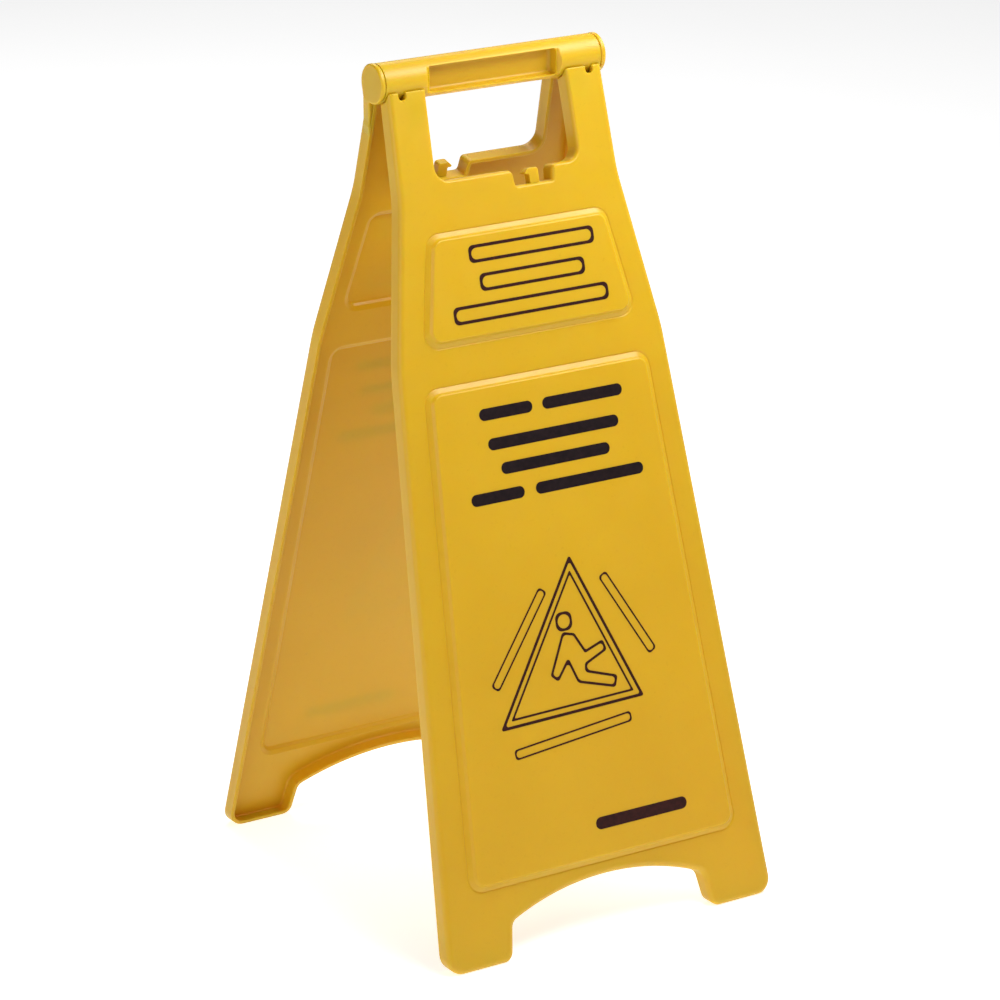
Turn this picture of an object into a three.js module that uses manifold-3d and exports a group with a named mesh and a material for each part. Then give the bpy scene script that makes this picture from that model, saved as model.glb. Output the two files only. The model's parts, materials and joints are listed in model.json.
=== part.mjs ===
// Folding wet floor sign: two moulded tray leaves that hang as an A-frame from one round handle bar.
//
// Frame: millimetres, +Z up, the origin on the floor midway between the four feet.
// X runs along the handle bar, and the front leaf leans towards -Y.
// At rest the sign stands open. The rear leaf turns about the bar's axis until the leaves lie flat together.
//
// Each leaf is built in its own frame and then leaned out: local X is across the leaf, local Y is up it
// from the hinge axis (so everything below the hinge is negative), and local Z points out of its face.

import * as THREE from 'three';
import { mergeVertices } from 'three/addons/utils/BufferGeometryUtils.js';
import Module from 'manifold-3d';

const wasm = await Module();
wasm.setup();

// ---------------------------------------------------------------- driving dimensions
const LEAF_LENGTH = 628.1; // hinge axis to the inner edge of the sole
const LEAN = THREE.MathUtils.degToRad(14.4); // each leaf leans out this far when the sign is open
const LEAF_DEPTH = 13.6; // from the hinge plane to the leaf's outer face
const WALL = 3; // moulded wall
const CLEARANCE = 0.3; // gap between neighbouring pieces

// Outline of a leaf, as half widths at distances down from the hinge axis.
const POST_TOP = { half: 88.9, down: 8.2 };
const UPPER_SHOULDER = { half: 91.6, down: 86, radius: 130 };
const LOWER_SHOULDER = { half: 111.3, down: 201.5, radius: 160 };
const FOOT_HALF_WIDTH = 140.4;
const FOOT_CORNER_RADIUS = 12;
const FOOT_INNER = { half: 86.5, radius: 8 };
const ARCH_SPRING = { half: 82, down: 603.1, radius: 7 };
const ARCH_RADIUS = 204;
const ARCH_CROWN_CORNER = 570.7; // where the arch's two end tangents meet

// Hand opening and the chain notch in its lower edge.
const OPENING_TOP_HALF = 58.3;
const OPENING = { half: 59.6, down: 74, radius: 10 };
const NOTCH = { near: 4.5, far: 35, down: 85.5, lipRadius: 4, floorRadius: 1.5, flare: 1.6 };

// The chain hook's outline: x across the leaf, distance down and corner radius, from the stem's foot.
const HOOK = { low: 3.8, high: 10.6 };
const HOOK_OUTLINE = [
  [17.8, 87, 0],
  [25.6, 87, 0],
  [25.6, 74.6, 2.4],
  [17.4, 74.6, 3],
  [14.2, 77.5, 0.8],
  [15.1, 78.9, 0.6],
  [17.8, 78.2, 1.4],
];

// Raised panels: half widths at the top and bottom of each rounded trapezoid.
const PANEL_RISE = 4;
const PANEL_SLOPE = 5; // how far the side walls run in over the rise
const PANELS = [
  { topHalf: 74.7, topDown: 110.2, bottomHalf: 89.7, bottomDown: 190.2, radius: 12 },
  { topHalf: 94, topDown: 217.6, bottomHalf: 115, bottomDown: 576.2, radius: 12 },
];

// Handle bar.
const BAR_RADIUS = 14.2;
const BAR_HALF_LENGTH = 89.6;
const GRIP_HALF_LENGTH = 53; // the cored middle, between the two solid-looking barrels
const GRIP_OPENING = 9.5; // half height of the cored pockets
const GRIP_WEB = 3;
const BARREL_CORE = { inner: 7.5, outer: 11.2, from: 60, rib: 2.4, ribAngle: 45 };
const TONGUE = { near: 62.3, far: 72, low: 5.2, high: 8.2, down: 34 };
const GUIDE_RIB = { near: 72.3, thickness: 2.2, low: 4, from: 16, down: 34 };

// Notches in the lips of the posts, just under the barrels.
const LIP_NOTCH = { centre: 78, half: 2.7, down: 14, depth: 10.5 };

// Ears of the rear leaf, and the hinge pins between their blind sockets and the bar.
const EAR = { radius: 14.5, inner: 89.9, outer: 93.8, socket: 92.1 };
const EAR_NECK = { low: 0.3, high: 9, full: 18, faded: 42, root: 86.6 };
const PIN = { radius: 4, tip: 69, chamfer: 1 };
const STOP_LUG = { inner: 7.9, outer: 10.8, reach: 4 };

const SADDLE_RADIUS = BAR_RADIUS + CLEARANCE;
const FOLD = 2 * LEAN;
const HINGE_HEIGHT = LEAF_LENGTH * Math.cos(LEAN);
const ARC_ERROR = 0.12; // how far a facet may cut inside a round
const ROUND = 48; // sides of a full circle

// ---------------------------------------------------------------- solids

/** Turns a closed three.js geometry into a manifold solid, which can be joined and cut. */
function solid(geometry) {
  const bare = geometry.clone();
  bare.deleteAttribute('normal');
  bare.deleteAttribute('uv');
  const merged = mergeVertices(bare, 1e-4);
  const mesh = new wasm.Mesh({
    numProp: 3,
    vertProperties: Float32Array.from(merged.attributes.position.array),
    triVerts: Uint32Array.from(merged.index.array),
  });
  return new wasm.Manifold(mesh);
}

/** Turns a solid back into a three.js geometry. */
function geometryOf(body) {
  const mesh = body.getMesh();
  const geometry = new THREE.BufferGeometry();
  geometry.setAttribute('position', new THREE.BufferAttribute(mesh.vertProperties, 3));
  geometry.setIndex(new THREE.BufferAttribute(mesh.triVerts, 1));
  geometry.computeVertexNormals();
  return geometry;
}

/** A box between two corners. */
function box(low, high) {
  const size = high.map((value, axis) => value - low[axis]);
  const centre = high.map((value, axis) => (value + low[axis]) / 2);
  return solid(new THREE.BoxGeometry(...size).translate(...centre));
}

/** A round bar along X, from one x to another. */
function barAlongX(radius, from, to, sides = ROUND) {
  const geometry = new THREE.CylinderGeometry(radius, radius, Math.abs(to - from), sides);
  return solid(geometry.rotateZ(Math.PI / 2).translate((from + to) / 2, 0, 0));
}

/** An outline in the leaf's plane, extruded along local Z. */
function plate(points, low, high) {
  const shape = new THREE.Shape(points);
  const geometry = new THREE.ExtrudeGeometry(shape, { depth: high - low, bevelEnabled: false });
  return solid(geometry.translate(0, 0, low));
}

/** A raised or sunk pad: its side walls run in by the slope as they rise to the top face. */
function pad(points, top, rise, slope) {
  const geometry = new THREE.ExtrudeGeometry(new THREE.Shape(points), {
    depth: 0.1,
    bevelEnabled: true,
    bevelThickness: rise,
    bevelSize: slope,
    bevelOffset: -slope,
    bevelSegments: 1,
  });
  return solid(geometry.translate(0, 0, top - rise - 0.1));
}

/** Joins a list of solids. */
function join(bodies) {
  return bodies.reduce((whole, body) => whole.add(body));
}

// ---------------------------------------------------------------- outlines

/** A corner of an outline: x across the leaf, a distance down from the hinge axis, and its radius. */
function corner(x, down, radius = 0) {
  return { x, y: -down, radius };
}

/** Moves every side of an anticlockwise outline inwards, and keeps its rounds concentric. */
function inset(corners, amount) {
  const count = corners.length;
  return corners.map((here, index) => {
    const before = corners[(index + count - 1) % count];
    const after = corners[(index + 1) % count];
    const into = new THREE.Vector2(here.x - before.x, here.y - before.y).normalize();
    const out = new THREE.Vector2(after.x - here.x, after.y - here.y).normalize();
    const turn = into.cross(out);
    const along = (1 - into.dot(out)) / turn;
    const shift = new THREE.Vector2(-into.y - into.x * along, into.x - into.y * along).multiplyScalar(amount);
    const radius = here.radius - Math.sign(turn) * amount;
    return { x: here.x + shift.x, y: here.y + shift.y, radius: here.radius ? Math.max(radius, 0) : 0 };
  });
}

/** Turns corners into points, with each round drawn as an arc. */
function outline(corners) {
  const count = corners.length;
  return corners.flatMap((here, index) => {
    const before = corners[(index + count - 1) % count];
    const after = corners[(index + 1) % count];
    const point = new THREE.Vector2(here.x, here.y);
    if (!here.radius) return [point];
    const into = new THREE.Vector2(here.x - before.x, here.y - before.y).normalize();
    const out = new THREE.Vector2(after.x - here.x, after.y - here.y).normalize();
    const turn = Math.atan2(into.cross(out), into.dot(out));
    const side = Math.sign(turn);
    const reach = here.radius * Math.tan(Math.abs(turn) / 2);
    const start = point.clone().addScaledVector(into, -reach);
    const centre = start.clone().add(new THREE.Vector2(-into.y, into.x).multiplyScalar(side * here.radius));
    const step = 2 * Math.acos(1 - ARC_ERROR / Math.max(here.radius, 1));
    const steps = Math.max(2, Math.ceil(Math.abs(turn) / step));
    const at = (i) => start.clone().rotateAround(centre, (turn * i) / steps);
    return Array.from({ length: steps + 1 }, (_, i) => at(i));
  });
}

/** The corners of a leaf, anticlockwise from the top of its right-hand post. */
function leafCorners() {
  const soleDown = LEAF_LENGTH + LEAF_DEPTH * Math.tan(LEAN);
  const right = [
    corner(POST_TOP.half, POST_TOP.down),
    corner(UPPER_SHOULDER.half, UPPER_SHOULDER.down, UPPER_SHOULDER.radius),
    corner(LOWER_SHOULDER.half, LOWER_SHOULDER.down, LOWER_SHOULDER.radius),
    corner(FOOT_HALF_WIDTH, soleDown, FOOT_CORNER_RADIUS),
    corner(FOOT_INNER.half, soleDown, FOOT_INNER.radius),
    corner(ARCH_SPRING.half, ARCH_SPRING.down, ARCH_SPRING.radius),
  ];
  const left = right.map((c) => ({ ...c, x: -c.x })).reverse();
  const opening = [
    corner(-OPENING_TOP_HALF, POST_TOP.down),
    corner(-OPENING.half, OPENING.down, OPENING.radius),
    corner(NOTCH.near - NOTCH.flare, OPENING.down, NOTCH.lipRadius),
    corner(NOTCH.near, NOTCH.down, NOTCH.floorRadius),
    corner(NOTCH.far, NOTCH.down, NOTCH.floorRadius),
    corner(NOTCH.far + NOTCH.flare, OPENING.down, NOTCH.lipRadius),
    corner(OPENING.half, OPENING.down, OPENING.radius),
    corner(OPENING_TOP_HALF, POST_TOP.down),
  ];
  const clockwise = [...right, corner(0, ARCH_CROWN_CORNER, ARCH_RADIUS), ...left, ...opening];
  return clockwise.reverse();
}

/** The corners of a raised panel, anticlockwise. */
function panelCorners(panel) {
  return [
    corner(-panel.bottomHalf, panel.bottomDown, panel.radius),
    corner(panel.bottomHalf, panel.bottomDown, panel.radius),
    corner(panel.topHalf, panel.topDown, panel.radius),
    corner(-panel.topHalf, panel.topDown, panel.radius),
  ];
}

// ---------------------------------------------------------------- leaves

/** Where a leaf's own frame sits in the sign: leaned out about the hinge axis. */
function leafPlacement() {
  const placement = new THREE.Matrix4().makeRotationX(Math.PI / 2 - LEAN);
  return placement.setPosition(0, 0, HINGE_HEIGHT);
}

/** Everything below a level above the floor, in the leaf's own frame. */
function below(level) {
  const slab = new THREE.BoxGeometry(400, 600, 100).translate(0, 0, level - 50);
  return solid(slab.applyMatrix4(leafPlacement().invert()));
}

/** The chain hook: a broad stem in the notch whose top hooks over towards the middle of the leaf. */
function chainHook() {
  const corners = HOOK_OUTLINE.map(([x, down, radius]) => corner(x, down, radius));
  return plate(outline(corners), HOOK.low, HOOK.high);
}

/** The U-shaped notch in a post's lip. */
function lipNotch(side) {
  const x = side * LIP_NOTCH.centre;
  const centreY = -(LIP_NOTCH.down - LIP_NOTCH.half);
  const shape = new THREE.Shape();
  shape.moveTo(x + LIP_NOTCH.half, 0);
  shape.lineTo(x - LIP_NOTCH.half, 0);
  shape.lineTo(x - LIP_NOTCH.half, centreY);
  shape.absarc(x, centreY, LIP_NOTCH.half, Math.PI, 2 * Math.PI, false);
  return plate(shape.getPoints(4), LEAF_DEPTH - LIP_NOTCH.depth, LEAF_DEPTH + 1);
}

/** The moulding that both leaves share: a tray with flanges, two raised panels, a hook and bar saddles. */
function leafMoulding() {
  const corners = leafCorners();
  const panels = PANELS.map((panel) => outline(panelCorners(panel)));
  const outside = join([
    plate(outline(corners), CLEARANCE, LEAF_DEPTH),
    ...panels.map((points) => pad(points, LEAF_DEPTH + PANEL_RISE, PANEL_RISE, PANEL_SLOPE)),
  ]);
  const inside = join([
    plate(outline(inset(corners, WALL)), -1, LEAF_DEPTH - WALL),
    ...panels.map((points) => pad(points, LEAF_DEPTH + PANEL_RISE - WALL, PANEL_RISE, PANEL_SLOPE)),
  ]).subtract(below(WALL));
  const body = plate(outline(corners), CLEARANCE, LEAF_DEPTH);
  const saddles = body.intersect(barAlongX(SADDLE_RADIUS + WALL, -120, 120));
  return outside
    .subtract(inside)
    .add(saddles)
    .add(chainHook())
    .subtract(barAlongX(SADDLE_RADIUS, -120, 120))
    .subtract(below(0))
    .subtract(lipNotch(-1))
    .subtract(lipNotch(1));
}

/** The front leaf also has a slot and a guide rib in each post for the handle bar's tongues. */
function frontLeaf() {
  let leaf = leafMoulding();
  for (const side of [-1, 1]) {
    const ribX = [side * GUIDE_RIB.near, side * (GUIDE_RIB.near + GUIDE_RIB.thickness)].sort((a, b) => a - b);
    const slotX = [side * (TONGUE.near - CLEARANCE), side * (TONGUE.far + CLEARANCE)].sort((a, b) => a - b);
    const ribHigh = LEAF_DEPTH - WALL / 2;
    const rib = box([ribX[0], -GUIDE_RIB.down, GUIDE_RIB.low], [ribX[1], -GUIDE_RIB.from, ribHigh]);
    const slot = box([slotX[0], -20, TONGUE.low - CLEARANCE], [slotX[1], -10, TONGUE.high + CLEARANCE]);
    leaf = leaf.add(rib).subtract(slot);
  }
  return leaf;
}

/** A sector of a ring round the hinge axis, measured from local Y towards local Z. */
function ringSector(inner, outer, start, end, fromX, toX) {
  const shape = new THREE.Shape();
  shape.absarc(0, 0, outer, start, end, false);
  shape.absarc(0, 0, inner, end, start, true);
  const depth = Math.abs(toX - fromX);
  const geometry = new THREE.ExtrudeGeometry(shape, { depth, bevelEnabled: false, curveSegments: 5 });
  const turnToX = new THREE.Matrix4().makeBasis(
    new THREE.Vector3(0, 1, 0),
    new THREE.Vector3(0, 0, 1),
    new THREE.Vector3(1, 0, 0),
  );
  return solid(geometry.applyMatrix4(turnToX).translate(Math.min(fromX, toX), 0, 0));
}

/** The lug on an ear's inner face: it meets one bar rib when the sign is open, and the next when shut. */
function stopLug(side) {
  const gap = Math.asin((BARREL_CORE.rib / 2 + CLEARANCE) / STOP_LUG.inner);
  const openRib = FOLD - THREE.MathUtils.degToRad(BARREL_CORE.ribAngle);
  const start = openRib + gap;
  const end = openRib + Math.PI / 2 - gap - FOLD;
  const x = [side * (EAR.inner - STOP_LUG.reach), side * EAR.inner];
  return ringSector(STOP_LUG.inner, STOP_LUG.outer, start, end, ...x);
}

/** An ear: a disc outside the bar's end, with a neck that fades into the post's side flange. */
function ear(side) {
  const share = (EAR_NECK.faded - POST_TOP.down) / (UPPER_SHOULDER.down - POST_TOP.down);
  const postHalf = THREE.MathUtils.lerp(POST_TOP.half, UPPER_SHOULDER.half, share);
  const neck = [
    [EAR.inner, 2],
    [EAR.outer, 2],
    [EAR.outer, EAR_NECK.full],
    [postHalf, EAR_NECK.faded],
    [EAR_NECK.root, EAR_NECK.faded],
    [EAR_NECK.root, SADDLE_RADIUS + CLEARANCE],
    [EAR.inner, SADDLE_RADIUS + CLEARANCE],
  ].map(([x, down]) => new THREE.Vector2(side * x, -down));
  return barAlongX(EAR.radius, side * EAR.inner, side * EAR.outer)
    .add(plate(neck, EAR_NECK.low, EAR_NECK.high))
    .add(stopLug(side))
    .subtract(barAlongX(PIN.radius + CLEARANCE, side * (EAR.inner - 10), side * EAR.socket, 32));
}

/** The rear leaf also has an ear on each post. */
function rearLeaf() {
  return leafMoulding().add(ear(-1)).add(ear(1));
}

// ---------------------------------------------------------------- handle bar and pins

/** One barrel end of the bar: cored to a ring and a boss, joined by four ribs, with a bore for the pin. */
function barrelCore(side) {
  const from = side * BARREL_CORE.from;
  const to = side * (BAR_HALF_LENGTH + 1);
  const ring = barAlongX(BARREL_CORE.outer, from, to).subtract(barAlongX(BARREL_CORE.inner, from, to));
  const ribs = [0, 1].map((turn) => {
    const plateX = [from, to].sort((a, b) => a - b);
    const size = [plateX[1] - plateX[0], 2 * BARREL_CORE.outer, BARREL_CORE.rib];
    const geometry = new THREE.BoxGeometry(...size).translate((from + to) / 2, 0, 0);
    return solid(geometry.rotateX(THREE.MathUtils.degToRad(BARREL_CORE.ribAngle) + (turn * Math.PI) / 2));
  });
  const bore = barAlongX(PIN.radius + CLEARANCE, side * (PIN.tip - 1), to, 32);
  return ring.subtract(join(ribs)).add(bore);
}

/** The handle bar: a round grip between two barrel ends, cored front and back, with an upright web. */
function handleBar() {
  const far = BAR_RADIUS + 1;
  const lean = THREE.MathUtils.radToDeg(LEAN);
  const pocket = (low, high) =>
    box([-GRIP_HALF_LENGTH, -GRIP_OPENING, low], [GRIP_HALF_LENGTH, GRIP_OPENING, high]).rotate([lean, 0, 0]);
  const round = barAlongX(BAR_RADIUS, -BAR_HALF_LENGTH, BAR_HALF_LENGTH)
    .subtract(pocket(GRIP_WEB / 2, far))
    .subtract(pocket(-far, -GRIP_WEB / 2))
    .subtract(barrelCore(-1))
    .subtract(barrelCore(1));
  const tongues = [-1, 1].map((side) => {
    const x = [side * TONGUE.near, side * TONGUE.far].sort((a, b) => a - b);
    return box([x[0], -TONGUE.down, TONGUE.low], [x[1], -(BARREL_CORE.outer + 0.5), TONGUE.high]);
  });
  return round.add(join(tongues));
}

/** A hinge pin along local Y with chamfered ends, turned from one profile. */
function hingePin() {
  const length = EAR.socket - CLEARANCE - PIN.tip;
  const profile = [
    [0, 0],
    [PIN.radius - PIN.chamfer, 0],
    [PIN.radius, PIN.chamfer],
    [PIN.radius, length - PIN.chamfer],
    [PIN.radius - PIN.chamfer, length],
    [0, length],
  ].map(([radius, height]) => new THREE.Vector2(radius, height));
  return solid(new THREE.LatheGeometry(profile, 40));
}

// ---------------------------------------------------------------- materials and assembly

function yellowPlastic(colour) {
  return new THREE.MeshStandardMaterial({ color: colour, roughness: 0.42, metalness: 0 });
}

const LEAF_YELLOW = 0xe8b42c;
const BAR_YELLOW = 0xecbc30;
const PIN_YELLOW = 0xdba82c;

/** A named mesh of one solid. */
function piece(name, body, colour) {
  const mesh = new THREE.Mesh(geometryOf(body), yellowPlastic(colour));
  mesh.name = name;
  return mesh;
}

/** A group that leans its contents out about the hinge axis: forwards, or backwards if turned half round. */
function leaningGroup(turn) {
  const lean = new THREE.Group();
  lean.applyMatrix4(leafPlacement());
  const group = new THREE.Group();
  group.rotation.z = turn;
  group.add(lean);
  return { group, lean };
}

function wetFloorSign() {
  const front = leaningGroup(0);
  front.lean.add(piece('front_leaf', frontLeaf(), LEAF_YELLOW));
  front.lean.add(piece('handle_bar', handleBar(), BAR_YELLOW));

  const rear = leaningGroup(Math.PI);
  rear.lean.add(piece('rear_leaf', rearLeaf(), LEAF_YELLOW));

  const sign = new THREE.Group();
  sign.add(front.group, rear.group);
  for (const [name, side] of [['left_hinge_pin', -1], ['right_hinge_pin', 1]]) {
    const pin = piece(name, hingePin(), PIN_YELLOW);
    pin.position.set(side * PIN.tip, 0, HINGE_HEIGHT);
    pin.rotation.z = -side * (Math.PI / 2);
    sign.add(pin);
  }
  return sign;
}

export default wetFloorSign();
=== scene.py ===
"""Folding wet floor sign: the visible pieces, lights and camera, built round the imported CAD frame.

Each leaf's shape is worked out in millimetres in the leaf's own frame: x across the leaf, y up it from
the hinge axis (so everything below the hinge is negative), z out of its printed face. The leaf's matrix
then leans it out and puts it in the sign's frame in metres.
"""

import json
import math

import bmesh
import bpy
from mathutils import Matrix, Vector
from mathutils.geometry import delaunay_2d_cdt


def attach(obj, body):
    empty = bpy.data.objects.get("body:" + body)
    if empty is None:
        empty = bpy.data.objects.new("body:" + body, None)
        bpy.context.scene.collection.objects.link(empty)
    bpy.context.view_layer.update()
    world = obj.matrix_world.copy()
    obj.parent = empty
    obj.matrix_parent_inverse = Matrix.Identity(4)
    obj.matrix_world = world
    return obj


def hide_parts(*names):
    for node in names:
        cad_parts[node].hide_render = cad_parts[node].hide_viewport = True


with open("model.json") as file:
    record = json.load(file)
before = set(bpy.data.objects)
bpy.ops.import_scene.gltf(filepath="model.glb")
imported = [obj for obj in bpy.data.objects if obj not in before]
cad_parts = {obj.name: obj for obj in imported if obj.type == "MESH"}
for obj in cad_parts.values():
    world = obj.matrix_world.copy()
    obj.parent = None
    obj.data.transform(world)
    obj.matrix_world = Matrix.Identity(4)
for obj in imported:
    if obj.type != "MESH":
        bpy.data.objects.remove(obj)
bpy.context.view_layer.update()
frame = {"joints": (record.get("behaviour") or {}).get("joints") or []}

MM = 0.001
FOLD_JOINT = frame["joints"][0]
HINGE = Vector(FOLD_JOINT["pos_m"])
LEAN = math.radians(FOLD_JOINT["range_deg"][1] / 2)

# ---------------------------------------------------------------- dimensions, as in the CAD model
LEAF_LENGTH = 628.1
LEAF_DEPTH = 13.6
WALL = 3.0
WEB = LEAF_DEPTH - WALL
RIM = 0.3
LIP_DOWN = 8.2
SADDLE_RADIUS = 14.6

# A leaf's outline: half widths and distances down from the hinge axis, with corner radii.
POST_TOP = (88.9, 8.2)
SHOULDER = (91.6, 86.0)
SHOULDER_RADIUS = 130.0
LOWER_SHOULDER = (111.3, 201.5)
LOWER_SHOULDER_RADIUS = 160.0
FOOT_HALF = 140.4
FOOT_RADIUS = 12.0
FOOT_INNER = 86.5
FOOT_INNER_RADIUS = 8.0
ARCH_SPRING = (82.0, 603.1)
ARCH_SPRING_RADIUS = 7.0
ARCH_CROWN = 570.7
ARCH_RADIUS = 204.0
OPENING_HALF = (58.3, 59.6)
OPENING_DOWN = 74.0
OPENING_RADIUS = 10.0

# The chain notch in the opening's lower edge, from its lip to its floor.
CHAIN_LIP = (2.9, 36.6)
CHAIN_FLOOR = (4.5, 35.0)
CHAIN_DOWN = 85.5
CHAIN_RADII = (4.0, 1.5)

# Fillets, and how far beyond a fillet the mesh is held flat.
EDGE_FILLET = 4.0
RIM_FILLET = 0.6
INNER_FILLET = 1.5
SUPPORT = 0.6

# The raised panels: a creased foot, a cove, then a steeper wall up to the flat face.
PANEL_RISE = 4.0
PANEL_SLOPE = 5.0
PANEL_CREASE = 0.45
PANEL_COVE = (1.7, 2.3)
PANEL_MARGIN = 3.2
PANELS = [
    {"top": (74.7, 110.2), "bottom": (89.7, 190.2), "radius": 12.0},
    {"top": (94.0, 217.6), "bottom": (115.0, 576.2), "radius": 12.0},
]

# The small notches in the posts' lips.
NOTCH_CENTRE = 78.0
NOTCH_HALF = 2.7
NOTCH_DOWN = 14.0
NOTCH_WALL = 1.0

BAR_RADIUS = 14.2
BAR_HALF = 89.6
GRIP_HALF = 53.0
GRIP_OPENING = 9.5
GRIP_WEB = 1.5

# The tongues under the barrels and the ribs beside them.
TONGUE = (62.3, 72.0)
TONGUE_LEVELS = (5.2, 8.2)
TONGUE_ROOT = 11.7
TONGUE_DOWN = 34.0
GUIDE_RIB = (72.3, 74.5)
GUIDE_RIB_TOP = 16.0

EAR_RADIUS = 14.5
EAR_INNER = 89.9
EAR_OUTER = 93.8
EAR_FADE = (17.0, 41.0)
EAR_NECK = (0.5, 9.0)
EAR_NECK_END = 41.5
EAR_ROOT = (86.8, 91.4)
PIN_RADIUS = 4.0
PIN_SPAN = (69.0, 91.8)

# ---------------------------------------------------------------- outlines and paths


def corner_arc(before, here, after, radius, steps):
    """The points of one rounded corner, or the corner itself where it has no radius."""
    if steps == 0 or radius <= 0:
        return [here]
    into = (here - before).normalized()
    out = (after - here).normalized()
    turn = math.atan2(into.x * out.y - into.y * out.x, into.dot(out))
    side = math.copysign(1.0, turn)
    start = here - into * radius * math.tan(abs(turn) / 2)
    centre = start + Vector((-into.y, into.x)) * side * radius
    arm = start - centre
    points = []
    for step in range(steps + 1):
        angle = turn * step / steps
        cos, sin = math.cos(angle), math.sin(angle)
        points.append(centre + Vector((arm.x * cos - arm.y * sin, arm.x * sin + arm.y * cos)))
    return points


def rounded_loop(corners):
    """The points of a closed outline whose corners are (x, y, radius, steps)."""
    places = [Vector(corner[:2]) for corner in corners]
    count = len(places)
    points = []
    for index, corner in enumerate(corners):
        before, after = places[index - 1], places[(index + 1) % count]
        points += corner_arc(before, places[index], after, corner[2], corner[3])
    return points


def rounded_path(corners, longest=None):
    """The points of an open path whose inner corners are (a, b, radius), its straights cut up if asked."""
    places = [Vector(corner[:2]) for corner in corners]
    points = [places[0]]
    for index in range(1, len(corners) - 1):
        radius = corners[index][2]
        steps = 5 if radius else 0
        points += corner_arc(places[index - 1], places[index], places[index + 1], radius, steps)
    points.append(places[-1])
    if longest is None:
        return points
    cut = [points[0]]
    for point in points[1:]:
        parts = max(1, math.ceil((point - cut[-1]).length / longest))
        start = cut[-1]
        cut += [start.lerp(point, part / parts) for part in range(1, parts + 1)]
    return cut


def inset(corners, amounts):
    """Moves each side of an anticlockwise outline inwards. amounts is one number, or one for each side."""
    count = len(corners)
    if not isinstance(amounts, (list, tuple)):
        amounts = [amounts] * count
    places = [Vector(corner[:2]) for corner in corners]
    moved = []
    for index, (x, y, radius, steps) in enumerate(corners):
        into = (places[index] - places[index - 1]).normalized()
        out = (places[(index + 1) % count] - places[index]).normalized()
        turn = into.x * out.y - into.y * out.x
        first, second = amounts[index - 1], amounts[index]
        along = (second - first * into.dot(out)) / turn
        shift = Vector((-into.y, into.x)) * first - into * along
        if steps:
            radius = max(radius - math.copysign((first + second) / 2, turn), 0.15)
        moved.append((x + shift.x, y + shift.y, radius, steps))
    return moved


# ---------------------------------------------------------------- mesh building

SLIVER_AREA = 1e-4


class Build:
    """Collects one piece's points and faces, in millimetres."""

    def __init__(self, place=None):
        self.points = []
        self.faces = []
        self.place = place or (lambda x, y, z: (x, y, z))

    def ring(self, loop, height):
        """Adds a loop at one height, or at a height for each point, and returns its point numbers."""
        first = len(self.points)
        for index, point in enumerate(loop):
            level = height[index] if isinstance(height, list) else height
            self.points.append((point[0], point[1], level))
        return list(range(first, len(self.points)))

    def bridge(self, a, b):
        """Joins two rings of the same count with quads."""
        count = len(a)
        for index in range(count):
            after = (index + 1) % count
            self.faces.append((a[index], a[after], b[after], b[index]))

    def sweep(self, rings):
        """Joins rings one after the other, and returns the first and last."""
        for a, b in zip(rings, rings[1:]):
            self.bridge(a, b)
        return rings[0], rings[-1]

    def fill(self, outer, holes=()):
        """Fills the flat space inside one ring and outside the others with triangles."""
        self.triangulate([outer, *holes], [])

    def triangulate(self, rings, loose, flat=None):
        """Triangles over the space between rings, with loose points in it. flat maps a point to a plane."""
        numbers = [number for ring in rings for number in ring] + list(loose)
        flat = flat or (lambda number: self.points[number][:2])
        places = [Vector(flat(number)) for number in numbers]
        edges = []
        start = 0
        for ring in rings:
            count = len(ring)
            edges += [(start + index, start + (index + 1) % count) for index in range(count)]
            start += count
        made, _, triangles, origins, _, _ = delaunay_2d_cdt(places, edges, [], 0, 1e-5)
        for triangle in triangles:
            a, b, c = (made[index] for index in triangle)
            sliver = abs((b - a).cross(c - a)) < SLIVER_AREA
            if not sliver and inside((a + b + c) / 3, places, edges):
                self.faces.append(tuple(numbers[origins[index][0]] for index in triangle))

    def mesh(self, name, matrix):
        """Makes the mesh: welded, facing outwards, smooth except at real edges."""
        mesh = bpy.data.meshes.new(name)
        solid = bmesh.new()
        points = [solid.verts.new(matrix @ Vector(self.place(*point))) for point in self.points]
        for face in self.faces:
            corners = [points[index] for index in face]
            if len(set(corners)) == len(corners) and not solid.faces.get(corners):
                solid.faces.new(corners)
        bmesh.ops.remove_doubles(solid, verts=solid.verts, dist=0.004 * MM)
        loose = [point for point in solid.verts if not point.link_faces]
        bmesh.ops.delete(solid, geom=loose, context="VERTS")
        bmesh.ops.recalc_face_normals(solid, faces=solid.faces)
        for edge in solid.edges:
            edge.smooth = edge.is_manifold and edge.calc_face_angle(0) < math.radians(34)
        for face in solid.faces:
            face.smooth = True
        solid.to_mesh(mesh)
        solid.free()
        return mesh


def inside(point, places, edges):
    """True where a point is inside an odd number of the loops that the edges draw."""
    odd = False
    for a, b in edges:
        p, q = places[a], places[b]
        if (p.y > point.y) != (q.y > point.y):
            if point.x < p.x + (q.x - p.x) * (point.y - p.y) / (q.y - p.y):
                odd = not odd
    return odd


def slab(build, corners, low, high, fillet, wells=()):
    """A plate with rounded edges. wells are rings already swept in its high face."""
    path = rounded_path(
        [
            (fillet + SUPPORT * 0.5, high),
            (0, high, fillet),
            (0, low, fillet),
            (fillet + SUPPORT * 0.5, low),
        ]
    )
    rings = [build.ring(rounded_loop(inset(corners, t)), h) for t, h in path]
    first, last = build.sweep(rings)
    build.fill(first, wells)
    build.fill(last)


def raised(build, corners, path, cap=True):
    """A boss or a well: an outline swept along (inset, height) points, closed by a cap. Returns its foot."""
    rings = [build.ring(rounded_loop(inset(corners, t)), h) for t, h in path]
    first, last = build.sweep(rings)
    if cap:
        build.fill(last)
    return first


# ---------------------------------------------------------------- where the leaves stand

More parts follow.
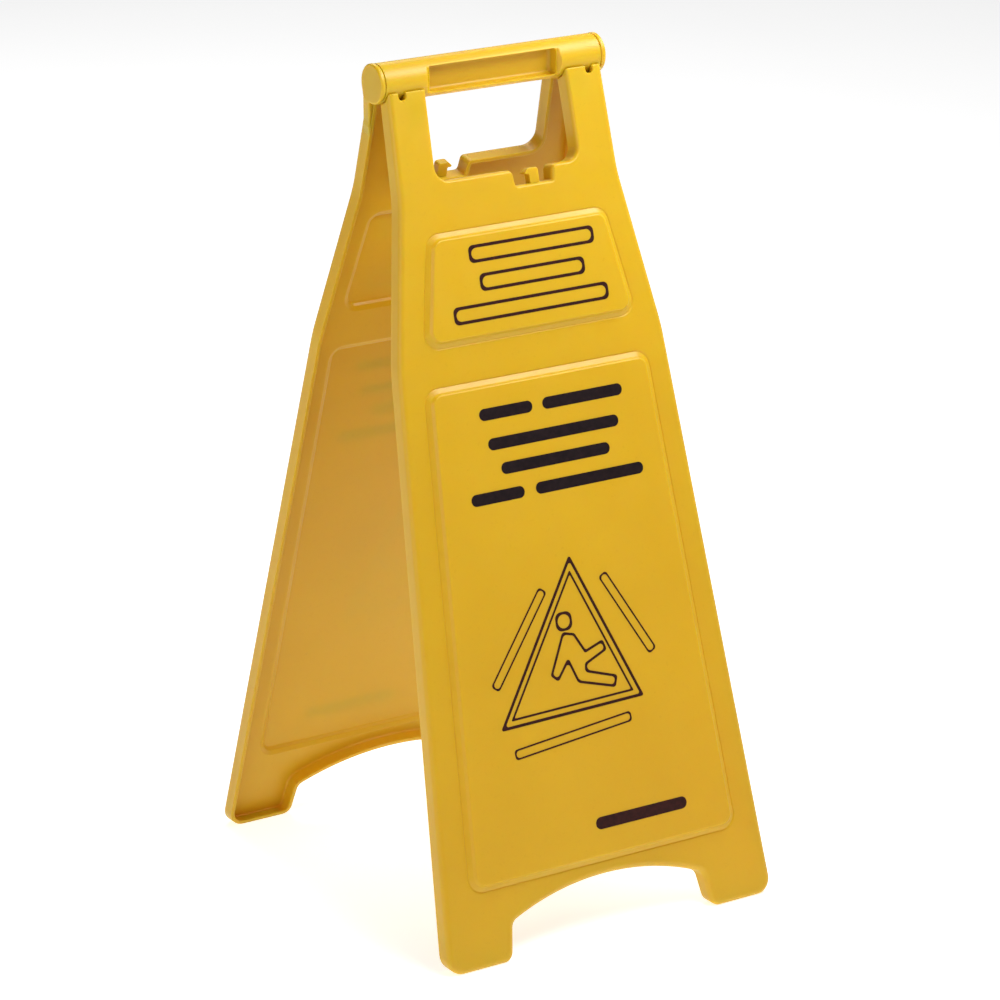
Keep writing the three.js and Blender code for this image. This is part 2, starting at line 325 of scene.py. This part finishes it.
FRONT = (
    Matrix.Translation(HINGE)
    @ Matrix.Rotation(math.pi / 2 - LEAN, 4, "X")
    @ Matrix.Scale(MM, 4)
)
REAR = Matrix.Rotation(math.pi, 4, "Z") @ FRONT
UPRIGHT = Matrix.Translation(HINGE) @ Matrix.Rotation(math.pi / 2, 4, "X") @ Matrix.Scale(MM, 4)
SIDES = {"front": FRONT, "rear": REAR}

# ---------------------------------------------------------------- leaves


def post_corners(side, top, notch_half, notch_bottom):
    """The top of one post, from its outer corner to its inner one on the right, and back on the left."""
    depth = notch_bottom - top
    lip = min(1.2, 0.45 * depth)
    floor = min(notch_half - 0.05, 0.45 * depth)
    right = [
        (POST_TOP[0], -top, 1.4, 3, "lip"),
        (NOTCH_CENTRE + notch_half, -top, lip, 3, "notch"),
        (NOTCH_CENTRE + notch_half, -notch_bottom, floor, 5, "notch"),
        (NOTCH_CENTRE - notch_half, -notch_bottom, floor, 5, "notch"),
        (NOTCH_CENTRE - notch_half, -top, lip, 3, "lip"),
        (OPENING_HALF[0], -top, 1.4, 3, "open"),
    ]
    if side > 0:
        return right
    tags = ["lip", "notch", "notch", "notch", "lip", "side"]
    return [(-x, y, r, n, tag) for (x, y, r, n, _), tag in zip(reversed(right), tags)]


def leaf_corners(height, inner):
    """A leaf's outline at one height above its mating plane, anticlockwise, with a tag for each side."""
    sole = LEAF_LENGTH + height * math.tan(LEAN)
    top = max(LIP_DOWN, math.sqrt(max(SADDLE_RADIUS**2 - height**2, 0)))
    if inner:
        half = NOTCH_HALF + NOTCH_WALL - WALL
        bottom = max(NOTCH_DOWN + NOTCH_WALL - WALL, top + 0.05)
    else:
        half = NOTCH_HALF
        bottom = max(NOTCH_DOWN, top + 0.05)
    flank = [
        (SHOULDER[0], -SHOULDER[1], SHOULDER_RADIUS, 6),
        (LOWER_SHOULDER[0], -LOWER_SHOULDER[1], LOWER_SHOULDER_RADIUS, 8),
        (FOOT_HALF, -sole, FOOT_RADIUS, 8),
        (FOOT_INNER, -sole, FOOT_INNER_RADIUS, 6),
        (ARCH_SPRING[0], -ARCH_SPRING[1], ARCH_SPRING_RADIUS, 6),
    ]
    return [
        *post_corners(1, top, half, bottom),
        (OPENING_HALF[1], -OPENING_DOWN, OPENING_RADIUS, 7, "open"),
        (CHAIN_LIP[1], -OPENING_DOWN, CHAIN_RADII[0], 5, "open"),
        (CHAIN_FLOOR[1], -CHAIN_DOWN, CHAIN_RADII[1], 4, "open"),
        (CHAIN_FLOOR[0], -CHAIN_DOWN, CHAIN_RADII[1], 4, "open"),
        (CHAIN_LIP[0], -OPENING_DOWN, CHAIN_RADII[0], 5, "open"),
        (-OPENING_HALF[1], -OPENING_DOWN, OPENING_RADIUS, 7, "open"),
        *post_corners(-1, top, half, bottom),
        *[(-x, y, radius, steps, "side") for x, y, radius, steps in flank],
        (0.0, -ARCH_CROWN, ARCH_RADIUS, 40, "side"),
        *[(x, y, radius, steps, "side") for x, y, radius, steps in reversed(flank)],
    ]


def leaf_ring(build, amount, height, inner):
    """One loop round a leaf's wall, inset by an amount that is smaller at the lips of the posts."""
    corners = leaf_corners(height, inner)
    if inner:
        past = max(amount - WALL, 0)
        amounts = {"side": amount, "open": amount, "lip": amount, "notch": min(amount, WALL) + 0.2 * past}
    else:
        amounts = {"side": amount, "open": 0.55 * amount, "lip": 0.3 * amount, "notch": 0.2 * amount}
    plain = [corner[:4] for corner in corners]
    return build.ring(rounded_loop(inset(plain, [amounts[corner[4]] for corner in corners])), height)


def panel_corners(panel):
    """A raised panel's outline, anticlockwise."""
    (top_half, top), (bottom_half, bottom), radius = panel["top"], panel["bottom"], panel["radius"]
    return [
        (-bottom_half, -bottom, radius, 8),
        (bottom_half, -bottom, radius, 8),
        (top_half, -top, radius, 8),
        (-top_half, -top, radius, 8),
    ]


def panel_path(base, foot):
    """The way up a panel's side, from the flat face at its base to its own flat face."""
    top = base + PANEL_RISE
    return rounded_path(
        [
            (-PANEL_MARGIN, base),
            *foot,
            (PANEL_SLOPE - PANEL_COVE[0], top - PANEL_COVE[1], 2.0),
            (PANEL_SLOPE, top, 1.2),
            (PANEL_SLOPE + PANEL_MARGIN, top),
        ]
    )


def leaf_tray(build):
    """The moulded tray: outer face with raised panels, flanges, rim, and inner face with recesses."""
    outer_path = rounded_path(
        [
            (EDGE_FILLET + SUPPORT, LEAF_DEPTH),
            (0, LEAF_DEPTH, EDGE_FILLET),
            (0, RIM, RIM_FILLET),
            (WALL / 2, RIM),
        ],
        longest=1.2,
    )
    inner_path = rounded_path(
        [
            (WALL / 2, RIM),
            (WALL, RIM, RIM_FILLET),
            (WALL, WEB, INNER_FILLET),
            (WALL + INNER_FILLET + 0.5, WEB),
        ],
        longest=1.2,
    )
    rings = [leaf_ring(build, t, h, inner=False) for t, h in outer_path]
    rings += [leaf_ring(build, t, h, inner=True) for t, h in inner_path]
    first, last = build.sweep(rings)

    crease = [(-0.9, LEAF_DEPTH, 0.3), (-0.2, LEAF_DEPTH - PANEL_CREASE, 0.25)]
    plain = [(0, WEB, 1.5)]
    for ring, base, foot in ((first, LEAF_DEPTH, crease), (last, WEB, plain)):
        path = panel_path(base, foot)
        feet = [raised(build, panel_corners(panel), path) for panel in PANELS]
        build.fill(ring, feet)


HOOK_LOW, HOOK_HIGH = 3.8, 10.6
HOOK_CORNERS = [
    (17.8, -87.0, 0, 0),
    (25.6, -87.0, 0, 0),
    (25.6, -74.6, 2.4, 6),
    (17.4, -74.6, 3.0, 6),
    (14.2, -77.5, 0.8, 4),
    (15.1, -78.9, 0.6, 3),
    (17.8, -78.2, 1.4, 4),
]


def chain_hook(build):
    """The hook in the notch: a broad stem whose top hooks over towards the middle of the leaf."""
    slab(build, HOOK_CORNERS, HOOK_LOW, HOOK_HIGH, 0.4)


def box_corners(x0, x1, y0, y1, radius=0.5):
    """A rectangle with rounded corners, anticlockwise."""
    return [(x0, y0, radius, 3), (x1, y0, radius, 3), (x1, y1, radius, 3), (x0, y1, radius, 3)]


def guide_rib(build, side):
    """The rib inside a front post that steadies the bar's tongue."""
    x0, x1 = sorted((side * GUIDE_RIB[0], side * GUIDE_RIB[1]))
    slab(build, box_corners(x0, x1, -TONGUE_DOWN, -GUIDE_RIB_TOP), 4.0, WEB + 0.5, 0.4)


def tangent_corner(radius, point):
    """Where a circle's top tangent meets its tangent through a point up and to the left of its middle."""
    reach = math.hypot(*point)
    contact = math.atan2(point[1], point[0]) - math.acos(radius / reach)
    middle = (math.pi / 2 + contact) / 2
    far = radius / math.cos(contact / 2 - math.pi / 4)
    return far * math.cos(middle), far * math.sin(middle)


def ear_corners():
    """An ear's outline in the plane across the bar, as (y, z) of the leaf: a disc with a neck below it."""
    r = EAR_RADIUS
    low, high = EAR_NECK
    waist = (-14.0, high)
    shoulder = tangent_corner(r, waist)
    return [
        (r, r, r, 14),
        (shoulder[0], shoulder[1], r, 5),
        (waist[0], waist[1], 3.0, 5),
        (-EAR_NECK_END, high, 2.5, 4),
        (-EAR_NECK_END, low, 1.5, 4),
        (-r, low, 0.25, 2),
        (-r, -r, r, 14),
        (r, -r, r, 14),
    ]


def circle_corners(radius, steps=14):
    """A circle as four rounded corners, anticlockwise."""
    return [(-radius, -radius, radius, steps), (radius, -radius, radius, steps),
            (radius, radius, radius, steps), (-radius, radius, radius, steps)]


def smooth(value, low, high):
    """0 below low, 1 above high and an eased ramp between."""
    t = min(max((value - low) / (high - low), 0.0), 1.0)
    return t * t * (3 - 2 * t)


def ear(side):
    """One ear of the rear leaf, as its own build because it is drawn across the bar."""

    def place(p, q, height):
        fade = smooth(-p, *EAR_FADE)
        share = (-p - POST_TOP[1]) / (SHOULDER[1] - POST_TOP[1])
        post = POST_TOP[0] + (SHOULDER[0] - POST_TOP[0]) * share
        outer = EAR_OUTER + (post + 0.05 - EAR_OUTER) * fade
        inner = EAR_INNER + (min(EAR_INNER, outer - 1.5) - EAR_INNER) * fade
        x = inner + (outer - inner) * (height - EAR_INNER) / (EAR_OUTER - EAR_INNER)
        return side * x, p, q

    build = Build(place)
    slab(build, ear_corners(), EAR_INNER, EAR_OUTER, 1.3)
    return build


def ear_root(side):
    """The foot of an ear, which joins its neck to the post's side wall."""
    build = Build(lambda p, q, height: (side * height, p, q))
    slab(build, box_corners(-35.0, -15.4, 0.9, 8.6, 1.0), *EAR_ROOT, 0.5)
    return build


# ---------------------------------------------------------------- handle bar and pins


def on_bar(y, radius=BAR_RADIUS):
    """The bar's height at a distance from its middle."""
    return math.sqrt(max(radius**2 - y**2, 0))


def grip_pocket(build, face):
    """One cored pocket of the grip, 1 on the front and -1 on the back. Returns the ring at its mouth."""
    fillet, base = 0.8, 3.0
    floor = GRIP_WEB
    steps = [(-fillet + fillet * math.sin(a), fillet * (1 - math.cos(a)), None)
             for a in [math.radians(18 * k) for k in range(6)]]
    steps += [(base * (1 - math.cos(a)), None, floor + base * (1 - math.sin(a)))
              for a in [math.radians(15 * k) for k in range(7)]]
    steps.append((base + 1.0, None, floor))
    corners = box_corners(-GRIP_HALF, GRIP_HALF, -GRIP_OPENING, GRIP_OPENING, 1.6)
    corners = [(x, y, radius, 6) for x, y, radius, _ in corners]
    rings = []
    for amount, drop, level in steps:
        loop = rounded_loop(inset(corners, amount))
        if level is None:
            heights = [face * (on_bar(point.y) - drop) for point in loop]
        else:
            heights = face * level
        rings.append(build.ring(loop, heights))
    mouth, bottom = build.sweep(rings)
    build.fill(bottom)
    return mouth


def handle_bar(build):
    """The handle: one round bar with a cored pocket on each side of its grip and closed barrel ends."""
    mouths = [grip_pocket(build, 1), grip_pocket(build, -1)]
    edge = 0.5
    span = BAR_HALF - edge
    around = 120
    seam = -math.pi / 2
    angles = [seam + 2 * math.pi * step / around for step in range(around)]

    def station(x, radius):
        first = len(build.points)
        build.points += [(x, radius * math.sin(a), radius * math.cos(a)) for a in angles]
        return list(range(first, len(build.points)))

    ends = {}
    for side in (-1, 1):
        rings = [station(side * (span + edge * math.sin(a)), BAR_RADIUS - edge * (1 - math.cos(a)))
                 for a in [math.radians(22.5 * k) for k in range(5)]]
        rings.append(station(side * BAR_HALF, BAR_RADIUS - edge - 1.0))
        ends[side], last = build.sweep(rings)
        build.triangulate([last], [], lambda number: build.points[number][1:])

    def angle_of(number):
        _, y, z = build.points[number]
        angle = math.atan2(y, z)
        return angle if angle >= seam - 1e-6 else angle + 2 * math.pi

    # The round side is triangulated unrolled, cut along a seam, with the pockets' mouths as holes.
    stations = [-80, -72, -64, -58] + [-56 + 8 * k for k in range(15)] + [58, 64, 72, 80]
    rows = [station(x, BAR_RADIUS) for x in stations]
    seam_end = []
    for ring in (ends[-1], *rows, ends[1]):
        build.points.append(build.points[ring[0]])
        seam_end.append(len(build.points) - 1)
    seam_start = [ends[-1][0], *[row[0] for row in rows], ends[1][0]]
    seam_set = set(seam_end)

    def unrolled(number):
        angle = seam + 2 * math.pi if number in seam_set else angle_of(number)
        return build.points[number][0], angle * BAR_RADIUS

    border = seam_start[:-1] + ends[1] + seam_end[::-1][:-1] + [seam_end[0]] + ends[-1][:0:-1]
    loose = []
    for row, x in zip(rows, stations):
        for number in row[1:]:
            _, y, _ = build.points[number]
            if abs(x) > GRIP_HALF + 1.5 or abs(y) > GRIP_OPENING + 1.0:
                loose.append(number)
    build.triangulate([border, *mouths], loose, unrolled)


def tongue(build, side):
    """A tongue under a barrel, which keys the bar into the front leaf's post."""
    x0, x1 = sorted((side * TONGUE[0], side * TONGUE[1]))
    slab(build, box_corners(x0, x1, -TONGUE_DOWN, -TONGUE_ROOT, 0.8), *TONGUE_LEVELS, 0.5)


def hinge_pin(side):
    """A plain pin with chamfered ends, between the bar and an ear."""
    build = Build(lambda p, q, height: (side * height, p, q))
    low, high = PIN_SPAN
    path = rounded_path([(1.8, high), (0, high, 0.8), (0, low, 0.8), (1.8, low)])
    rings = [build.ring(rounded_loop(inset(circle_corners(PIN_RADIUS), t)), h) for t, h in path]
    first, last = build.sweep(rings)
    build.fill(first)
    build.fill(last)
    return build


# ---------------------------------------------------------------- pieces


def piece(name, build, matrix, body, material):
    """A finished piece: its mesh, its material, and the body that it rides on."""
    made = bpy.data.objects.new(name, build.mesh(name, matrix))
    bpy.context.scene.collection.objects.link(made)
    made.data.materials.append(material)
    even = made.modifiers.new("even_normals", "WEIGHTED_NORMAL")
    even.keep_sharp = True
    even.weight = 100
    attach(made, body)
    return made


# ---------------------------------------------------------------- print

# The ink lies half in and half out of a panel's face.
INK_LOW = LEAF_DEPTH + PANEL_RISE - 0.06
INK_HIGH = LEAF_DEPTH + PANEL_RISE + 0.06

# Words of the two notices, as bars: x from, x to, distance down.
UPPER_WORDS = [(-44, 59, 128.0), (-38, 48, 148.8), (-63, 65, 169.6)]
LOWER_WORDS = [(-55, -10.5, 241.5), (-2, 66, 241.5), (-51, 59.5, 263.2), (-43, 49, 281.6),
               (-71, -26.5, 300.4), (-17, 75, 300.4)]
UPPER_BAR, UPPER_LINE = 10.5, 2.3
LOWER_BAR = 8.6

# The warning triangle, the captions along its sides and the plain bar at the panel's foot.
TRIANGLE = [(2.3, -354.0), (-71.5, -465.0), (47.7, -463.0)]
INNER_TRIANGLE = 0.86
CAPTIONS = [
    ((-73.0, -435.0), (-23.5, -373.0)),
    ((28.0, -371.0), (61.6, -433.0)),
    ((-64.0, -485.0), (35.5, -476.5)),
]
CAPTION_BAR, CAPTION_LINE = 6.5, 1.3
FOOT_BAR = (33.5, -548.0, 79.0, 9.0)

# A plain figure that has lost its footing, leaning back with one leg out.
FIGURE_LINE = 1.9
HEAD = (-9.4, -398.2)
HEAD_RADIUS = 6.0
FIGURE = [
    (-25.4, -434.6, 3.2, 5),
    (-20.6, -439.0, 3.2, 5),
    (-10.2, -426.2, 0.8, 3),
    (-3.8, -443.4, 5.6, 5),
    (25.8, -452.4, 3.4, 5),
    (28.2, -445.4, 3.4, 5),
    (3.4, -437.0, 2.4, 4),
    (4.2, -431.8, 2.0, 4),
    (22.2, -424.6, 3.2, 5),
    (20.2, -418.2, 3.2, 5),
    (5.0, -423.0, 0.8, 3),
    (-2.6, -409.0, 4.0, 6),
    (-11.4, -406.6, 4.0, 6),
]


def capsule(cx, cy, length, height, angle=0.0):
    """A round-ended bar, anticlockwise."""
    cos, sin = math.cos(angle), math.sin(angle)
    a, b = length / 2, height / 2
    return [
        (cx + x * cos - y * sin, cy + x * sin + y * cos, b * 0.98, 6)
        for x, y in ((-a, -b), (a, -b), (a, b), (-a, b))
    ]


def solid_ink(build, corners):
    """A filled patch of ink."""
    path = [(0.06, INK_HIGH), (0, INK_HIGH - 0.03), (0, INK_LOW), (0.06, INK_LOW - 0.01)]
    rings = [build.ring(rounded_loop(inset(corners, t)), h) for t, h in path]
    first, last = build.sweep(rings)
    build.fill(first)
    build.fill(last)


def line_ink(build, corners, width):
    """An outline drawn in ink: a closed band, half of its width on each side of the outline."""
    half = width / 2
    path = [(-half, INK_LOW), (-half, INK_HIGH - 0.03), (-half + 0.05, INK_HIGH),
            (half - 0.05, INK_HIGH), (half, INK_HIGH - 0.03), (half, INK_LOW)]
    rings = [build.ring(rounded_loop(inset(corners, t)), h) for t, h in path]
    first, last = build.sweep(rings)
    build.bridge(last, first)


def word_bars(build, words, height, width=None):
    """The notice's words as plain round-ended bars: (x from, x to, distance down) for each."""
    for x0, x1, down in words:
        corners = capsule((x0 + x1) / 2, -down, x1 - x0, height)
        if width:
            line_ink(build, corners, width)
        else:
            solid_ink(build, corners)


def triangle_corners(scale, radius):
    """A warning triangle's outline, anticlockwise, scaled about its middle."""
    middle = sum((Vector(corner) for corner in TRIANGLE), Vector((0.0, 0.0))) / 3
    return [(*(middle + (Vector(corner) - middle) * scale), radius, 6) for corner in TRIANGLE]


def upper_print(build):
    """The upper panel's words, outlined."""
    word_bars(build, UPPER_WORDS, UPPER_BAR, UPPER_LINE)


def lower_print(build):
    """The lower panel's words, solid."""
    word_bars(build, LOWER_WORDS, LOWER_BAR)


def caption(build, start, end):
    """A thin outlined bar between two points."""
    start, end = Vector(start), Vector(end)
    middle, along = (start + end) / 2, end - start
    corners = capsule(*middle, along.length, CAPTION_BAR, math.atan2(along.y, along.x))
    line_ink(build, corners, CAPTION_LINE)


def pictogram(build):
    """The double triangle with its figure and captions, and the bar at the panel's foot."""
    line_ink(build, triangle_corners(1.0, 2.5), 2.2)
    line_ink(build, triangle_corners(INNER_TRIANGLE, 1.5), 1.6)
    line_ink(build, FIGURE, FIGURE_LINE)
    head = [(HEAD[0] + x, HEAD[1] + y, r, n) for x, y, r, n in circle_corners(HEAD_RADIUS, 8)]
    line_ink(build, head, FIGURE_LINE)
    for start, end in CAPTIONS:
        caption(build, start, end)
    solid_ink(build, capsule(*FOOT_BAR))


# ---------------------------------------------------------------- materials


def shader(name, rough):
    """A new material and its parts: tree, principled shader and a helper that adds a node."""
    material = bpy.data.materials.new(name)
    material.use_nodes = True
    tree = material.node_tree
    principled = tree.nodes["Principled BSDF"]
    principled.inputs["Roughness"].default_value = rough

    def add(kind, **values):
        node = tree.nodes.new(kind)
        for key, value in values.items():
            setattr(node, key, value)
        return node

    return material, tree, principled, add


def noise(tree, add, coordinates, scale, detail=3.0, rough=0.5):
    """A noise texture on the piece's own coordinates."""
    node = add("ShaderNodeTexNoise")
    node.inputs["Scale"].default_value = scale
    node.inputs["Detail"].default_value = detail
    node.inputs["Roughness"].default_value = rough
    tree.links.new(coordinates, node.inputs["Vector"])
    return node.outputs["Fac"]


def remap(tree, add, value, low, high, new_low, new_high):
    """Stretches a value from one range to another."""
    node = add("ShaderNodeMapRange")
    for socket, number in zip(("From Min", "From Max", "To Min", "To Max"), (low, high, new_low, new_high)):
        node.inputs[socket].default_value = number
    tree.links.new(value, node.inputs["Value"])
    return node.outputs["Result"]


def blend_colours(tree, add, factor, first, second):
    """Mixes two colours, or a socket and a colour, by a factor."""
    node = add("ShaderNodeMix", data_type="RGBA")
    for socket, colour in ((6, first), (7, second)):
        if isinstance(colour, tuple):
            node.inputs[socket].default_value = (*colour, 1.0)
        else:
            tree.links.new(colour, node.inputs[socket])
    tree.links.new(factor, node.inputs[0])
    return node.outputs[2]


# Light that goes a little way into the plastic and comes out redder, so that thin walls glow.
GLOW = {
    "Subsurface Weight": 0.4,
    "Subsurface Radius": (1.0, 0.5, 0.04),
    "Subsurface Scale": 0.015,
}


def yellow_plastic(name, light, deep):
    """Semi-gloss moulded plastic: slow shifts of tone, a faint orange-peel skin and uneven gloss."""
    material, tree, principled, add = shader(name, 0.4)
    where = add("ShaderNodeTexCoord").outputs["Object"]
    broad = remap(tree, add, noise(tree, add, where, 9.0, 2.0), 0.3, 0.7, 0.0, 1.0)
    colour = blend_colours(tree, add, broad, light, deep)
    specks = remap(tree, add, noise(tree, add, where, 420.0, 2.0), 0.62, 0.8, 0.0, 0.35)
    colour = blend_colours(tree, add, specks, colour, tuple(0.86 * c for c in deep))
    tree.links.new(colour, principled.inputs["Base Color"])
    gloss = remap(tree, add, noise(tree, add, where, 60.0, 4.0), 0.3, 0.7, 0.34, 0.44)
    tree.links.new(gloss, principled.inputs["Roughness"])
    principled.inputs["Specular IOR Level"].default_value = 0.34
    for socket, value in GLOW.items():
        principled.inputs[socket].default_value = value
    skin = add("ShaderNodeBump")
    skin.inputs["Strength"].default_value = 0.06
    skin.inputs["Distance"].default_value = 0.0004
    tree.links.new(noise(tree, add, where, 700.0, 3.0), skin.inputs["Height"])
    tree.links.new(skin.outputs["Normal"], principled.inputs["Normal"])
    return material


def ink(name, light, dark):
    """Screen-printed ink: dark, a little uneven, duller than the plastic."""
    material, tree, principled, add = shader(name, 0.55)
    principled.inputs["Specular IOR Level"].default_value = 0.15
    where = add("ShaderNodeTexCoord").outputs["Object"]
    patchy = remap(tree, add, noise(tree, add, where, 260.0, 4.0), 0.35, 0.7, 0.0, 1.0)
    tree.links.new(blend_colours(tree, add, patchy, dark, light), principled.inputs["Base Color"])
    rough = remap(tree, add, noise(tree, add, where, 90.0, 3.0), 0.3, 0.7, 0.45, 0.62)
    tree.links.new(rough, principled.inputs["Roughness"])
    return material


def floor_paint(name):
    """A plain pale studio floor with the faintest mottle."""
    material, tree, principled, add = shader(name, 0.75)
    principled.inputs["Emission Color"].default_value = (1.0, 1.0, 1.0, 1.0)
    principled.inputs["Emission Strength"].default_value = 0.64
    where = add("ShaderNodeTexCoord").outputs["Object"]
    mottle = remap(tree, add, noise(tree, add, where, 3.0, 3.0), 0.3, 0.7, 0.0, 1.0)
    tree.links.new(blend_colours(tree, add, mottle, (0.94, 0.94, 0.94), (0.92, 0.92, 0.92)),
                   principled.inputs["Base Color"])
    return material


# ---------------------------------------------------------------- stage


def studio_floor():
    mesh = bpy.data.meshes.new("studio_floor")
    reach = 40.0
    solid = bmesh.new()
    corners = ((-reach, -reach), (reach, -reach), (reach, reach), (-reach, reach))
    solid.faces.new([solid.verts.new((x, y, 0)) for x, y in corners])
    solid.to_mesh(mesh)
    solid.free()
    floor = bpy.data.objects.new("studio_floor", mesh)
    bpy.context.scene.collection.objects.link(floor)
    floor.data.materials.append(floor_paint("floor_paint"))


def soft_light(name, place, target, size, watts, colour=(1.0, 1.0, 1.0)):
    """A soft box aimed at a point."""
    data = bpy.data.lights.new(name, "AREA")
    data.shape = "RECTANGLE"
    data.size, data.size_y = size
    data.energy = watts
    data.color = colour
    light = bpy.data.objects.new(name, data)
    light.location = place
    light.rotation_mode = "QUATERNION"
    light.rotation_quaternion = (Vector(target) - Vector(place)).to_track_quat("-Z", "Y")
    bpy.context.scene.collection.objects.link(light)


def studio_lights():
    world = bpy.data.worlds.new("studio")
    world.use_nodes = True
    background = world.node_tree.nodes["Background"]
    background.inputs["Color"].default_value = (1.0, 1.0, 1.0, 1.0)
    background.inputs["Strength"].default_value = 0.13
    bpy.context.scene.world = world
    top = (0.0, 0.0, 0.5)
    soft_light("overhead_light", (0.4, -0.36, 1.18), top, (1.2, 0.3), 14.0)
    soft_light("fill_light", (-1.8, -0.9, 0.65), (0.0, 0.0, 0.2), (1.2, 0.7), 5.4)
    soft_light("side_light", (-1.2, -0.15, 0.75), top, (0.6, 0.6), 3.4, (1.0, 0.92, 0.78))
    soft_light("back_light", (0.6, 2.2, 2.4), top, (1.6, 1.0), 30.0)


CAMERA_AZIMUTH = math.radians(-31.98)
CAMERA_ELEVATION = math.radians(18.64)
CAMERA_ROLL = math.radians(-0.40)
CAMERA_DISTANCE = 3.0729
CAMERA_AIM = (0.0072, -0.0045, 0.2842)
CAMERA_LENS = 150.46


def camera():
    """A long lens at the photograph's viewing angle: a little above the sign, from its left."""
    azimuth, elevation, roll = CAMERA_AZIMUTH, CAMERA_ELEVATION, CAMERA_ROLL
    back = Vector((
        math.sin(azimuth) * math.cos(elevation),
        -math.cos(azimuth) * math.cos(elevation),
        math.sin(elevation),
    ))
    level = Vector((math.cos(azimuth), math.sin(azimuth), 0.0))
    upright = back.cross(level)
    right = level * math.cos(roll) + upright * math.sin(roll)
    up = upright * math.cos(roll) - level * math.sin(roll)
    data = bpy.data.cameras.new("camera")
    data.lens = CAMERA_LENS
    data.sensor_width = 36.0
    data.clip_end = 50.0
    view = bpy.data.objects.new("camera", data)
    turn = Matrix((right, up, back)).transposed().to_4x4()
    view.matrix_world = Matrix.Translation(Vector(CAMERA_AIM) + back * CAMERA_DISTANCE) @ turn
    bpy.context.scene.collection.objects.link(view)
    bpy.context.scene.camera = view


# ---------------------------------------------------------------- the sign


def leaf_pieces(side, plastic, upper_ink, lower_ink, picture_ink):
    """A leaf with its print."""
    matrix = SIDES[side]
    tray = Build()
    leaf_tray(tray)
    chain_hook(tray)
    if side == "front":
        guide_rib(tray, -1)
        guide_rib(tray, 1)
    leaf = piece(f"{side}_leaf_moulding", tray, matrix, side, plastic)
    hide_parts(f"{side}_leaf")
    prints = (
        ("upper_notice", upper_print, upper_ink),
        ("lower_notice", lower_print, lower_ink),
        ("pictogram", pictogram, picture_ink),
    )
    for name, draw, colour in prints:
        build = Build()
        draw(build)
        piece(f"{side}_{name}", build, matrix, side, colour)


def make_sign():
    leaf_plastic = yellow_plastic("leaf_plastic", (0.60, 0.376, 0.010), (0.565, 0.349, 0.009))
    bar_plastic = yellow_plastic("bar_plastic", (0.61, 0.386, 0.011), (0.58, 0.361, 0.010))
    pin_plastic = yellow_plastic("pin_plastic", (0.58, 0.363, 0.010), (0.54, 0.332, 0.009))
    maroon = ink("maroon_ink", (0.040, 0.008, 0.006), (0.022, 0.005, 0.004))
    black = ink("black_ink", (0.014, 0.006, 0.007), (0.007, 0.003, 0.004))

    for side in SIDES:
        leaf_pieces(side, leaf_plastic, maroon, black, maroon)

    bar = Build()
    handle_bar(bar)
    handle = piece("handle_bar_moulding", bar, UPRIGHT, "front", bar_plastic)
    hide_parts("handle_bar")

    for name, side in (("left", -1), ("right", 1)):
        # The rear leaf is turned half round, so its own left is the sign's right.
        own = -side
        key = Build()
        tongue(key, side)
        piece(f"handle_bar_tongue_{name}", key, FRONT, "front", bar_plastic)
        piece(f"rear_ear_{name}", ear(own), REAR, "rear", leaf_plastic)
        piece(f"rear_ear_root_{name}", ear_root(own), REAR, "rear", leaf_plastic)
        pin = piece(f"{name}_pin", hinge_pin(own), REAR, "rear", pin_plastic)
        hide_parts(f"{name}_hinge_pin")


make_sign()
studio_floor()
studio_lights()
camera()
bpy.context.scene.view_settings.view_transform = "Standard"
